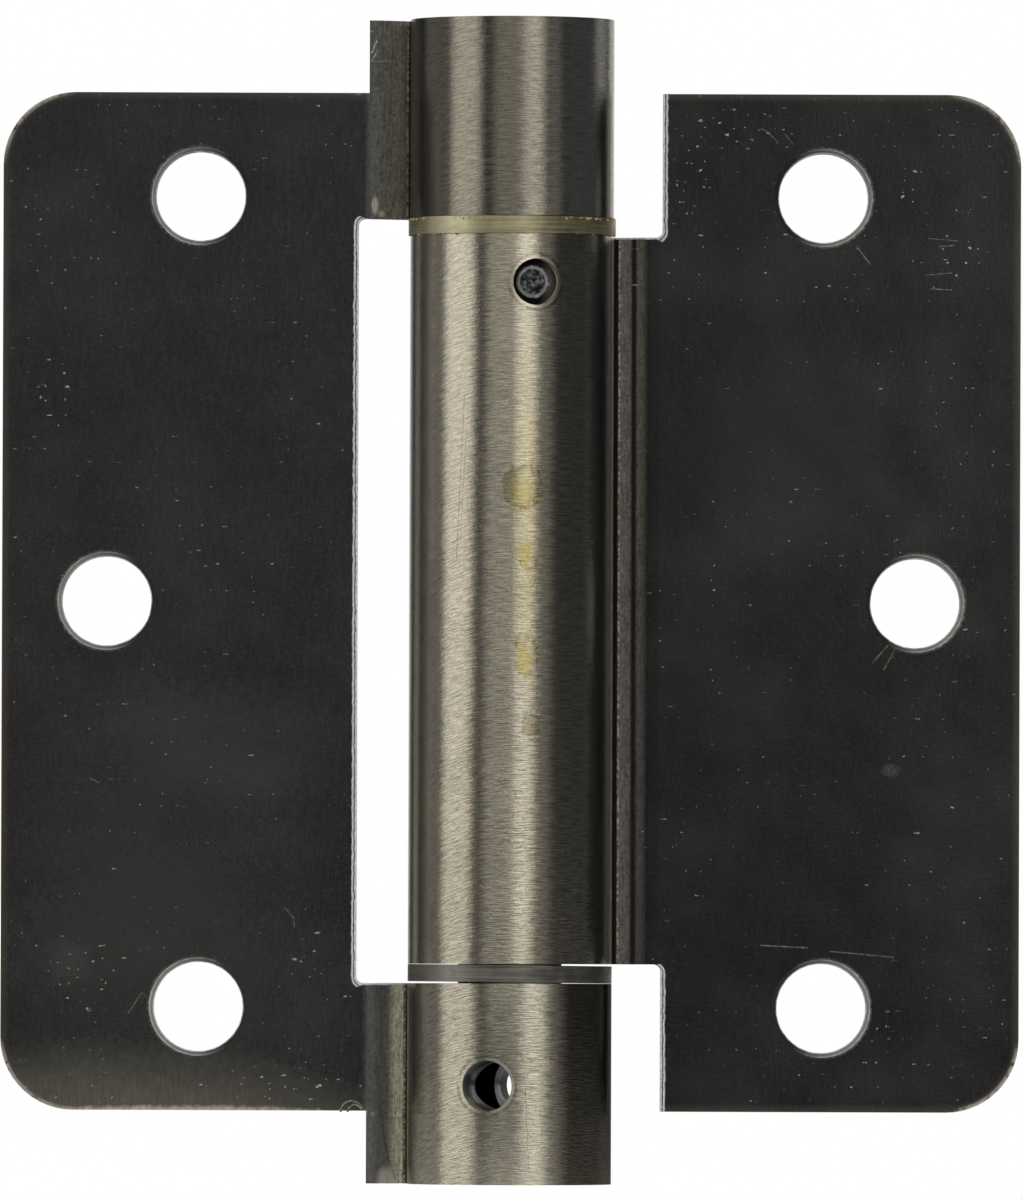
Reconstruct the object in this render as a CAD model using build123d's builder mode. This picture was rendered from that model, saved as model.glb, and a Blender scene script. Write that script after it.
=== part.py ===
from build123d import *

import os
from math import acos, cos, degrees, radians, sin, tan

# Self-closing spring hinge, lying open and flat.
# +Z runs up the pin axis. The origin is on that axis, half way up the barrel and the leaves.
# The leaves lie along X, and the side that they close on faces -Y.

os.makedirs("parts", exist_ok=True)

# Leaves
leaf_height = 88.9
leaf_reach = 44.45
sheet = 2.4
leaf_corner_radius = 6.35
closed_gap = 1.8
plate_face = closed_gap / 2

# Neck, where the plate bends back to run into its knuckle
neck_angle = 28.5
neck_bend_radius = 1.5
seam_gap = 0.15

# Barrel
barrel_radius = 8.9
bore_radius = barrel_radius - sheet
top_knuckle_length = 17.3
centre_knuckle_length = 63.5
bottom_knuckle_length = 17.5

# Fits
running_clearance = 0.05
fit_clearance = 0.02
edge_break = 0.3

# Washers between the knuckles, the lower one lying a little askew in its play
top_washer_thickness = 1.5
top_washer_overhang = 0.15
top_washer_radius = barrel_radius + top_washer_overhang
top_play = 0.05
bottom_washer_thickness = 1.5
bottom_washer_radius = barrel_radius
bottom_washer_tilt = 0.5
bottom_play = 0.1
washer_bore_clearance = 0.2

# Notches that let each leaf pass the other leaf's knuckles
right_notch_edge = 13.15
left_notch_edge = 13.4
left_tab_edge = 12.5
notch_corner_radius = 0.6

# Screw holes, two in line near the ends and one further out in the middle
screw_hole_radius = 3.9
screw_rim_radius = 4.3
screw_rim_angle = 82
end_hole_spacing = 70.8
end_hole_reach = 27.2
middle_hole_reach = 35.3

# Pivot pin, in a bearing sleeve above and in the spring's plug below
sleeve_wall = 1.9
pivot_radius = bore_radius - fit_clearance - sleeve_wall - running_clearance
pivot_recess = 0.5
pivot_depth = 8.5
sleeve_recess = 0.2
plug_recess = 0.3
plug_length = 13.0

# Cross pin, sunk in its hole in the centre knuckle
anchor_radius = 2.0
anchor_azimuth = 13.8
anchor_drop = 4.2
anchor_recess = 0.7
anchor_chamfer = 0.55

# Spring of square wire, with a straight tang across each end
wire = 2.0
turns_in_stretch = 6
spring_stretches = 3
spring_clearance = 0.3
spring_end_gap = 0.1
tang_clearance = 0.15
nose_length = 3.0
coil_outer_radius = bore_radius - spring_clearance
coil_inner_radius = coil_outer_radius - wire
coil_mean_radius = coil_outer_radius - wire / 2
nose_radius = coil_inner_radius - spring_clearance

# Tension adjuster, in the bottom knuckle
tension_hole_radius = 2.2
tension_hole_rise = 8.6
tension_azimuth = -13.0
tension_hole_count = 3
adjuster_recess = 0.4
adjuster_head_gap = 0.1
bush_wall = 1.9
stem_radius = bore_radius - fit_clearance - bush_wall - running_clearance
socket_across_flats = 5.0
socket_depth = 4.6

# Bush and retaining ring on the adjuster's stem
bush_length = 6.0
ring_thickness = 0.8
ring_clearance = 0.6
ring_outer_radius = bore_radius - ring_clearance
ring_opening = 3.0
ring_gap = 0.1
groove_depth = 0.6
groove_radius = stem_radius - groove_depth
ring_bore_radius = groove_radius + fit_clearance
stem_shoulder_rise = 1.2

# Heights on the pin axis, stacked up from the bottom of the barrel
stack = [
    bottom_knuckle_length,
    bottom_washer_thickness + 2 * bottom_play,
    centre_knuckle_length,
    top_washer_thickness + 2 * top_play,
    top_knuckle_length,
]
barrel_bottom = -sum(stack) / 2
bottom_knuckle_top = barrel_bottom + stack[0]
centre_bottom = bottom_knuckle_top + stack[1]
centre_top = centre_bottom + stack[2]
top_knuckle_bottom = centre_top + stack[3]
barrel_top = top_knuckle_bottom + stack[4]

# Heights of what is inside the barrel
anchor_height = centre_top - anchor_drop
anchor_inner_reach = (bore_radius**2 - anchor_radius**2) ** 0.5 - fit_clearance
pivot_bottom = centre_top - pivot_depth
plug_top = centre_top - plug_recess
plug_shoulder = plug_top - plug_length
bush_top = centre_bottom + bush_length
ring_bottom = bush_top + ring_gap
stem_shoulder = ring_bottom + ring_thickness + stem_shoulder_rise
coil_bottom = stem_shoulder + spring_end_gap + wire / 2
coil_top = plug_shoulder - spring_end_gap - wire / 2
stretch_height = (coil_top - coil_bottom) / spring_stretches
tension_height = barrel_bottom + tension_hole_rise
adjuster_bottom = barrel_bottom + adjuster_recess
adjuster_head_top = bottom_knuckle_top - adjuster_head_gap

# The leaves' closing side, as a plane that looks out of it
closing_side = Plane.XZ.offset(-plate_face)


# Plane across a radial hole: its normal points out from the pin axis, azimuth turned from -Y
def radial_plane(azimuth, height):
    angle = radians(azimuth)
    return Plane(
        origin=(0, 0, height),
        x_dir=(cos(angle), sin(angle), 0),
        z_dir=(sin(angle), -cos(angle), 0),
    )


# One face of the sheet in cross section, depth under the closing side: out of the plate,
# round the bend, up the neck and round the bore until the rolled edge comes back to the neck.
def sheet_face(depth):
    neck_end_angle = radians(90 - neck_angle)
    neck_end_x = bore_radius * cos(neck_end_angle)
    neck_end_y = bore_radius * sin(neck_end_angle)
    neck_start_x = neck_end_x + (neck_end_y - plate_face) / tan(radians(neck_angle))
    bend_radius = neck_bend_radius + sheet
    bend_start_x = neck_start_x + bend_radius * tan(radians(neck_angle / 2))
    unrolled_angle = degrees(acos((bore_radius - seam_gap) / barrel_radius))
    face_radius = bore_radius + depth
    neck_end = (face_radius * cos(neck_end_angle), face_radius * sin(neck_end_angle))
    plate = Line((leaf_reach, plate_face + depth), (bend_start_x, plate_face + depth))
    bend = JernArc(plate @ 1, plate % 1, bend_radius - depth, -neck_angle)
    neck = Line(bend @ 1, neck_end)
    knuckle = JernArc(neck @ 1, neck % 1, face_radius, 360 - unrolled_angle)
    return plate @ 0, knuckle @ 1


# Sheet with plate, neck and rolled knuckle, as one strip on the +X side of the pin
def rolled_strip():
    with BuildPart() as strip:
        with BuildSketch(Plane.XY.offset(barrel_bottom)):
            with BuildLine():
                closing_end, closing_lip = sheet_face(0)
                back_end, back_lip = sheet_face(sheet)
                Line(closing_end, back_end)
                Line(closing_lip, back_lip)
            make_face()
        extrude(amount=barrel_top - barrel_bottom)
    return strip.part


# Rectangle between two corners, in the sketch that is open
def block(x_min, x_max, z_min, z_max):
    with Locations(((x_min + x_max) / 2, (z_min + z_max) / 2)):
        Rectangle(x_max - x_min, z_max - z_min)


# Screw holes of one leaf, cut from its closing side, where each has a short conical rim
def screw_holes(side):
    places = [
        (side * end_hole_reach, end_hole_spacing / 2),
        (side * end_hole_reach, -end_hole_spacing / 2),
        (side * middle_hole_reach, 0),
    ]
    with Locations(closing_side):
        with Locations(places):
            CounterSinkHole(screw_hole_radius, screw_rim_radius, counter_sink_angle=screw_rim_angle)


# Cylinder on the pin axis between two heights, in the part that is open
def turned(radius, bottom, top, mode=Mode.ADD):
    with Locations((0, 0, bottom)):
        Cylinder(radius, top - bottom, align=(Align.CENTER, Align.CENTER, Align.MIN), mode=mode)


# Radial hole from the pin axis outwards, or right through the part with both=True
def radial_hole(radius, azimuth, height, both=False):
    with BuildSketch(radial_plane(azimuth, height)) as hole:
        Circle(radius)
    extrude(hole.sketch, amount=2 * barrel_radius, both=both, mode=Mode.SUBTRACT)


# Slot across a spring seat that its tang lies in, along X
def tang_slot(bottom, top):
    with Locations((0, 0, bottom)):
        Box(
            2 * coil_outer_radius,
            wire + 2 * tang_clearance,
            top - bottom,
            align=(Align.CENTER, Align.CENTER, Align.MIN),
            mode=Mode.SUBTRACT,
        )


# Some whole turns of the spring's coil, one stretch of the wire, from a height upwards
def coil_stretch(bottom):
    pitch = stretch_height / turns_in_stretch
    with BuildPart() as stretch:
        with BuildLine():
            coil = Helix(pitch, stretch_height, coil_mean_radius, center=(0, 0, bottom))
        with BuildSketch(Plane(origin=coil @ 0, x_dir=(1, 0, 0), z_dir=coil % 0)):
            Rectangle(wire, wire)
        sweep(path=coil, is_frenet=True)
    return stretch.part


# Straight end of the spring's wire, from the coil's last turn across the pin axis
def tang(height):
    with Locations(((coil_mean_radius - nose_radius) / 2, 0, height)):
        Box(coil_mean_radius + nose_radius, wire, wire)


# Right leaf, rolled into the long centre knuckle
with BuildPart() as barrel_leaf:
    add(rolled_strip())
    with BuildSketch(Plane.XZ) as right_outline:
        block(right_notch_edge, leaf_reach, -leaf_height / 2, leaf_height / 2)
        fillet(right_outline.vertices().group_by(Axis.X)[-1], leaf_corner_radius)
        block(-barrel_radius, right_notch_edge, centre_bottom, centre_top)
        notch_line = right_outline.vertices().group_by(Axis.X)[1]
        fillet(notch_line.sort_by(Axis.Y)[1:-1], notch_corner_radius)
    extrude(amount=barrel_radius, both=True, mode=Mode.INTERSECT)
    screw_holes(1)
    radial_hole(anchor_radius + fit_clearance, anchor_azimuth, anchor_height)

# Left leaf, rolled into the top and the bottom knuckle
with BuildPart() as two_knuckle_leaf:
    mirror(rolled_strip(), about=Plane.YZ)
    with BuildSketch(Plane.XZ) as left_outline:
        block(-leaf_reach, -left_tab_edge, -leaf_height / 2, leaf_height / 2)
        fillet(left_outline.vertices().group_by(Axis.X)[0], leaf_corner_radius)
        block(-left_tab_edge, barrel_radius, top_knuckle_bottom, barrel_top)
        block(-left_tab_edge, barrel_radius, barrel_bottom, bottom_knuckle_top)
        with Locations((-left_notch_edge, (top_knuckle_bottom + bottom_knuckle_top) / 2)):
            RectangleRounded(
                2 * (left_notch_edge - left_tab_edge),
                top_knuckle_bottom - bottom_knuckle_top,
                notch_corner_radius,
                align=(Align.MIN, Align.CENTER),
                mode=Mode.SUBTRACT,
            )
    extrude(amount=barrel_radius, both=True, mode=Mode.INTERSECT)
    screw_holes(-1)
    radial_hole(tension_hole_radius, tension_azimuth, tension_height, both=True)

# Brass washer under the top knuckle
with BuildPart() as top_washer:
    turned(top_washer_radius, centre_top + top_play, top_knuckle_bottom - top_play)
    turned(pivot_radius + washer_bore_clearance, centre_top, top_knuckle_bottom, mode=Mode.SUBTRACT)

# Steel washer over the bottom knuckle, tilted about Y
askew = Plane.XY.offset((bottom_knuckle_top + centre_bottom) / 2).rotated((0, bottom_washer_tilt, 0))
with BuildPart(askew) as bottom_washer:
    Cylinder(bottom_washer_radius, bottom_washer_thickness)
    Hole(stem_radius + washer_bore_clearance)

# Bearing sleeve, pressed into the top knuckle
with BuildPart() as top_sleeve:
    turned(bore_radius - fit_clearance, top_knuckle_bottom, barrel_top - sleeve_recess)
    chamfer(top_sleeve.edges().group_by(Axis.Z)[-1], edge_break)
    turned(pivot_radius + running_clearance, top_knuckle_bottom, barrel_top, mode=Mode.SUBTRACT)

# Pivot pin, from the top knuckle down into the plug
with BuildPart() as pivot_pin:
    turned(pivot_radius, pivot_bottom, barrel_top - pivot_recess)
    chamfer(pivot_pin.edges().filter_by(GeomType.CIRCLE), edge_break)
    radial_hole(anchor_radius + fit_clearance, anchor_azimuth, anchor_height, both=True)

# Plug in the top of the centre knuckle: bored for the pivot pin, with a slotted nose for the spring
with BuildPart() as anchor_plug:
    turned(bore_radius - fit_clearance, plug_shoulder, plug_top)
    chamfer(anchor_plug.edges().group_by(Axis.Z)[-1], edge_break)
    turned(nose_radius, plug_shoulder - nose_length, plug_shoulder)
    turned(pivot_radius + fit_clearance, pivot_bottom - fit_clearance, plug_top, mode=Mode.SUBTRACT)
    radial_hole(anchor_radius + fit_clearance, anchor_azimuth, anchor_height, both=True)
    tang_slot(plug_shoulder - nose_length, plug_shoulder)

# Cross pin, from the far side of the plug out into the wall of the centre knuckle
with BuildPart() as anchor_pin:
    with BuildSketch(radial_plane(anchor_azimuth, anchor_height).offset(-anchor_inner_reach)):
        Circle(anchor_radius)
    extrude(amount=anchor_inner_reach + barrel_radius - anchor_recess)
    outward = Axis((0, 0, 0), radial_plane(anchor_azimuth, 0).z_dir)
    chamfer(anchor_pin.edges().filter_by(GeomType.CIRCLE).sort_by(outward)[-1], anchor_chamfer)

# Spring, wound round the noses of the plug and the adjuster
with BuildPart() as torsion_spring:
    for number in range(spring_stretches):
        add(coil_stretch(coil_bottom + number * stretch_height))
    tang(coil_bottom)
    tang(coil_top)

# Bush pressed into the bottom of the centre knuckle
with BuildPart() as lower_bush:
    turned(bore_radius - fit_clearance, centre_bottom, bush_top)
    chamfer(lower_bush.edges().group_by(Axis.Z)[-1], edge_break)
    turned(stem_radius + running_clearance, centre_bottom, bush_top, mode=Mode.SUBTRACT)

# Tension adjuster: head with cross holes and hexagon socket, stem with ring groove, slotted nose
with BuildPart() as tension_adjuster:
    turned(bore_radius - running_clearance, adjuster_bottom, adjuster_head_top)
    chamfer(tension_adjuster.edges().filter_by(GeomType.CIRCLE), edge_break)
    turned(stem_radius, adjuster_head_top, stem_shoulder)
    turned(nose_radius, stem_shoulder, stem_shoulder + nose_length)
    with BuildSketch(Plane.XY.offset(ring_bottom)):
        Circle(stem_radius)
        Circle(groove_radius, mode=Mode.SUBTRACT)
    extrude(amount=ring_thickness, mode=Mode.SUBTRACT)
    for number in range(tension_hole_count):
        azimuth = tension_azimuth + number * 180 / tension_hole_count
        radial_hole(tension_hole_radius, azimuth, tension_height, both=True)
    with BuildSketch(Plane.XY.offset(adjuster_bottom)):
        RegularPolygon(socket_across_flats / 2, 6, major_radius=False)
    extrude(amount=socket_depth, mode=Mode.SUBTRACT)
    tang_slot(stem_shoulder, stem_shoulder + nose_length)

# Open ring that snaps into the stem's groove, above the bush
with BuildPart() as retaining_ring:
    turned(ring_outer_radius, ring_bottom + fit_clearance, ring_bottom + ring_thickness - fit_clearance)
    turned(ring_bore_radius, ring_bottom, ring_bottom + ring_thickness, mode=Mode.SUBTRACT)
    with Locations((ring_outer_radius / 2, 0, ring_bottom + ring_thickness / 2)):
        Box(ring_outer_radius, ring_opening, ring_thickness, mode=Mode.SUBTRACT)

# One file for each piece
pieces = {
    "barrel_leaf": barrel_leaf,
    "two_knuckle_leaf": two_knuckle_leaf,
    "top_washer": top_washer,
    "bottom_washer": bottom_washer,
    "top_sleeve": top_sleeve,
    "pivot_pin": pivot_pin,
    "anchor_plug": anchor_plug,
    "anchor_pin": anchor_pin,
    "torsion_spring": torsion_spring,
    "lower_bush": lower_bush,
    "tension_adjuster": tension_adjuster,
    "retaining_ring": retaining_ring,
}
for name, piece in pieces.items():
    piece.part.label = name
    export_step(piece.part, f"parts/{name}.step")
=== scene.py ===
from math import cos, radians, sin
from random import Random

import bmesh
import bpy
from mathutils import Matrix, Vector


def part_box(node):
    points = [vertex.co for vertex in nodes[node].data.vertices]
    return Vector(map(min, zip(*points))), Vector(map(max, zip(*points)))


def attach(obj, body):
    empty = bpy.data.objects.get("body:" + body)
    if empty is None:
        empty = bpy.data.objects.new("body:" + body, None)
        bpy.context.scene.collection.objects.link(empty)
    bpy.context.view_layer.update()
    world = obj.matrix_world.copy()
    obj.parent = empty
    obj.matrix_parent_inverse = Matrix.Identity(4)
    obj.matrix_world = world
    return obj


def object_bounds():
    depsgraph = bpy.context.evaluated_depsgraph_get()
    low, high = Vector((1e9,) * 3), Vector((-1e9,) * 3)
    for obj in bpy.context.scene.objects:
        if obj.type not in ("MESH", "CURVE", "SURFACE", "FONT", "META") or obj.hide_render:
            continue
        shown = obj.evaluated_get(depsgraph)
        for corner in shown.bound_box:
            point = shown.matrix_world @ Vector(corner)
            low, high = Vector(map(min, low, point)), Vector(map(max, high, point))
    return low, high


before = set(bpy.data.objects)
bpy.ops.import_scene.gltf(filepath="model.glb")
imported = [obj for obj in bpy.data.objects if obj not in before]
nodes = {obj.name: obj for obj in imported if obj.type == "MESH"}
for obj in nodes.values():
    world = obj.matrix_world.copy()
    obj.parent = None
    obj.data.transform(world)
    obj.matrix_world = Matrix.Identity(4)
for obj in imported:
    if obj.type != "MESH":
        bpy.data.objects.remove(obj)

cad_box = [list(corner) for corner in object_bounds()]

# Camera. The hinge is photographed square on from well back, so the leaves are nearly without
# perspective. The lens stands level with the lower washer, one degree under the middle, rolled by a hair.
millimetre = 0.001
camera_distance = 1800 * millimetre
camera_below = radians(1.0)
camera_roll = radians(0.2)
camera_aim = Vector((0.05, 0, 0.17)) * millimetre
long_side_shown = 104.75 * millimetre

camera = bpy.data.objects.new("camera", bpy.data.cameras.new("camera"))
bpy.context.scene.collection.objects.link(camera)
camera.data.lens = camera.data.sensor_width * camera_distance / long_side_shown
camera.data.clip_end = 20
towards_camera = Vector((0, -cos(camera_below), -sin(camera_below)))
camera.location = camera_aim + towards_camera * camera_distance
camera.rotation_mode = "QUATERNION"
upright = (-towards_camera).to_track_quat("-Z", "Y")
camera.rotation_quaternion = Matrix.Rotation(camera_roll, 3, towards_camera).to_quaternion() @ upright
bpy.context.scene.camera = camera


# Studio. A soft box stands on each side of the camera, each with a dimmer wing beyond it, and a third fills
# between them. A strip is at the far right, one box is overhead and one behind. The room itself is a cool
# dark grey, which is why the steel's dark flanks look neutral.
bpy.context.scene.view_settings.view_transform = "Standard"


def linear(colour):
    """An sRGB colour such as "A09080" as the linear values that the nodes take."""
    parts = [int(colour[i:i + 2], 16) / 255 for i in (0, 2, 4)]
    return [p / 12.92 if p <= 0.04045 else ((p + 0.055) / 1.055) ** 2.4 for p in parts] + [1]


def add(tree, kind, inputs=(), output=0, **settings):
    """Adds a node with its settings, sets or links its inputs, and returns one of its outputs.

    Of a Mix node's numbered sockets, 0 is the factor, 2 and 3 mix numbers, 4 and 5 vectors, 6 and 7 colours.
    """
    made = tree.nodes.new("ShaderNode" + kind)
    for name, value in settings.items():
        setattr(made, name, value)
    sockets = inputs if isinstance(inputs, dict) else dict(enumerate(inputs))
    for socket, value in sockets.items():
        if isinstance(value, bpy.types.NodeSocket):
            tree.links.new(value, made.inputs[socket])
        else:
            made.inputs[socket].default_value = value
    return made.outputs[output] if len(made.outputs) else made


world = bpy.data.worlds.new("studio")
bpy.context.scene.world = world
world.use_nodes = True
studio = world.node_tree
studio.nodes.clear()
camera_ray = add(studio, "LightPath", output="Is Camera Ray")
glossy_ray = camera_ray.node.outputs["Is Glossy Ray"]
clear_ray = camera_ray.node.outputs["Is Transmission Ray"]
# Steel shows the white sweep only where it mirrors what is nearly straight behind the hinge.
away = add(studio, "SeparateXYZ", [add(studio, "TexCoord", output="Generated")], "Y")
sweep = add(studio, "MapRange", [away, 0.9, 0.995])
mirrored = add(studio, "Math", [glossy_ray, sweep], operation="MULTIPLY")
seen = add(studio, "Math", [camera_ray, clear_ray], operation="MAXIMUM")
white = add(studio, "Math", [seen, mirrored], operation="MAXIMUM")
room = add(studio, "Background", [linear("424549")])
backdrop = add(studio, "Background", [linear("FFFFFF")])
add(studio, "OutputWorld", [add(studio, "MixShader", [white, room, backdrop])])


def soft_box(name, azimuth, height, distance, width, tall, power):
    """A lamp that faces the hinge, azimuth degrees round to the right of the camera. Sizes in metres."""
    lamp = bpy.data.objects.new(name, bpy.data.lights.new(name, "AREA"))
    bpy.context.scene.collection.objects.link(lamp)
    lamp.data.shape = "RECTANGLE"
    lamp.data.size = width
    lamp.data.size_y = tall
    lamp.data.energy = power
    lamp.visible_camera = False
    turn = radians(azimuth)
    lamp.location = Vector((sin(turn) * distance, -cos(turn) * distance, height))
    lamp.rotation_mode = "QUATERNION"
    lamp.rotation_quaternion = lamp.location.to_track_quat("Z", "Y")
    return lamp


soft_box("left_box", -63, 0.0, 0.9, 0.6, 1.1, 2.9)
soft_box("left_wing", -104, 0.0, 0.9, 0.66, 1.1, 0.5)
soft_box("front_box", 16, 0.0, 1.1, 0.43, 1.3, 2.9)
soft_box("front_wing", 38, 0.0, 1.1, 0.3, 1.3, 0.32)
soft_box("front_fill", -12.5, 0.0, 1.3, 0.82, 1.3, 2.0)
soft_box("right_strip", 112, 0.0, 0.8, 0.34, 1.0, 0.18)
soft_box("overhead_box", 0, 1.2, 0.05, 0.7, 0.7, 3.0)
soft_box("back_strip", 150, 0.0, 0.9, 0.5, 1.0, 0.7)
# Light from the whole room, before and behind, which a mirror-like face doesn't show as a shape.
soft_box("room_light", 15, 0.6, 1.5, 1.6, 1.6, 14.0).visible_glossy = False
soft_box("back_room_light", 180, 0.6, 1.5, 1.6, 1.6, 14.0).visible_glossy = False

floor_drop = 3.2 * millimetre
floor_half = 4.0
shadow_full = 85 * millimetre
shadow_gone = 150 * millimetre
floor_mesh = bpy.data.meshes.new("floor")
plane = bmesh.new()
bmesh.ops.create_grid(plane, x_segments=1, y_segments=1, size=floor_half)
bmesh.ops.translate(plane, verts=plane.verts, vec=(0, 0, cad_box[0][2] - floor_drop))
plane.to_mesh(floor_mesh)
plane.free()
floor = bpy.data.objects.new("floor", floor_mesh)
bpy.context.scene.collection.objects.link(floor)


def blank_material(name):
    """A material of that name with nothing in its node tree yet, and that tree."""
    material = bpy.data.materials.new(name)
    material.use_nodes = True
    material.node_tree.nodes.clear()
    return material, material.node_tree


# Matt white paper: away from the hinge the camera sees it as plain white, close by it keeps the shadow.
# The far paper's colour is painted grey, as painted shade for being out of the lamps' reach, so to the steel
# it's grey.
paper, tree = blank_material("matt_white_paper")
spread = add(tree, "VectorMath", [add(tree, "TexCoord", output="Object")], "Value", operation="LENGTH")
open_floor = add(tree, "MapRange", [spread, shadow_full, shadow_gone])
whitened = add(tree, "MapRange", [spread, shadow_full, shadow_gone, 0.6, 1.0])
lit = add(tree, "Math", [add(tree, "LightPath", output="Is Camera Ray"), whitened], operation="MULTIPLY")
shade = add(tree, "Mix", {0: open_floor, 6: linear("F2F2F2"), 7: linear("525252")}, 2, data_type="RGBA")
plain = add(tree, "BsdfDiffuse", [shade])
glow = add(tree, "Emission", [linear("FFFFFF")])
add(tree, "OutputMaterial", [add(tree, "MixShader", [lit, plain, glow])])
floor_mesh.materials.append(paper)


# The left leaf: 2.4 mm cold-rolled steel sheet, blanked, pierced, bent back at the neck and rolled into
# the two end knuckles. The flats are near black with a faint up-and-down grain, the knuckles are brushed
# round and round to a warm grey, and the necks between keep the mottled skin that the roller left.
to_millimetres = (1 / millimetre,) * 3
# Sizes of both leaves in millimetres. The neck runs back from the bend to the knuckle.
knuckle_radius = 8.9
neck_width = 4.0
bend_at = 12.95
neck_slope = 0.543
corner_centre = 38.1
corner_radius = 6.35
middle_hole = (35.3, 0, 0)
end_hole = (27.2, 0, 35.4)
between_holes = 17.5
bright_steel = "D8D6CC"


def scratch(tree, place, start, end, half_width):
    """How much a point of the sheet is on a straight scratch from start to end, (x, z) in mm: 0 to 1."""
    begin = Vector((start[0], 0, start[1]))
    run = Vector((end[0], 0, end[1])) - begin
    level = add(tree, "VectorMath", [place, (1, 0, 1)], operation="MULTIPLY")
    offset = add(tree, "VectorMath", [level, begin], operation="SUBTRACT")
    along = add(tree, "VectorMath", [offset, run / run.length_squared], "Value", operation="DOT_PRODUCT")
    held = add(tree, "Clamp", [along])
    reached = add(tree, "VectorMath", {0: run, "Scale": held}, operation="SCALE")
    gap = add(tree, "VectorMath", [offset, reached], "Value", operation="DISTANCE")
    return add(tree, "MapRange", [gap, half_width, half_width * 0.3])


def stain(tree, place, torn, centre, radii, ragged, dried):
    """How much a point is in a ragged oval round centre, (x, z) in mm: 0 to 1. A dried one is a ring."""
    offset = add(tree, "VectorMath", [place, (centre[0], 0, centre[1])], operation="SUBTRACT")
    shrunk = add(tree, "VectorMath", [offset, (1 / radii[0], 0, 1 / radii[1])], operation="MULTIPLY")
    gap = add(tree, "VectorMath", [shrunk], "Value", operation="LENGTH")
    edge = add(tree, "Math", [torn, ragged, gap], operation="MULTIPLY_ADD")
    limit = 1.0 + ragged * 0.5
    inside = add(tree, "MapRange", [edge, limit, limit - (0.12 if dried else 0.5)])
    if not dried:
        return inside
    middle = add(tree, "MapRange", [edge, limit - 0.1, limit - 0.4, 0.0, 0.9])
    ring = add(tree, "Math", [inside, middle], operation="SUBTRACT")
    breaks = add(tree, "TexNoise", {"Vector": place, "Scale": 2.2, "Detail": 2.0})
    breaks = add(tree, "MapRange", [breaks, 0.38, 0.52, 0.25, 1.0])
    return add(tree, "Math", [ring, breaks], operation="MULTIPLY")


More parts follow.
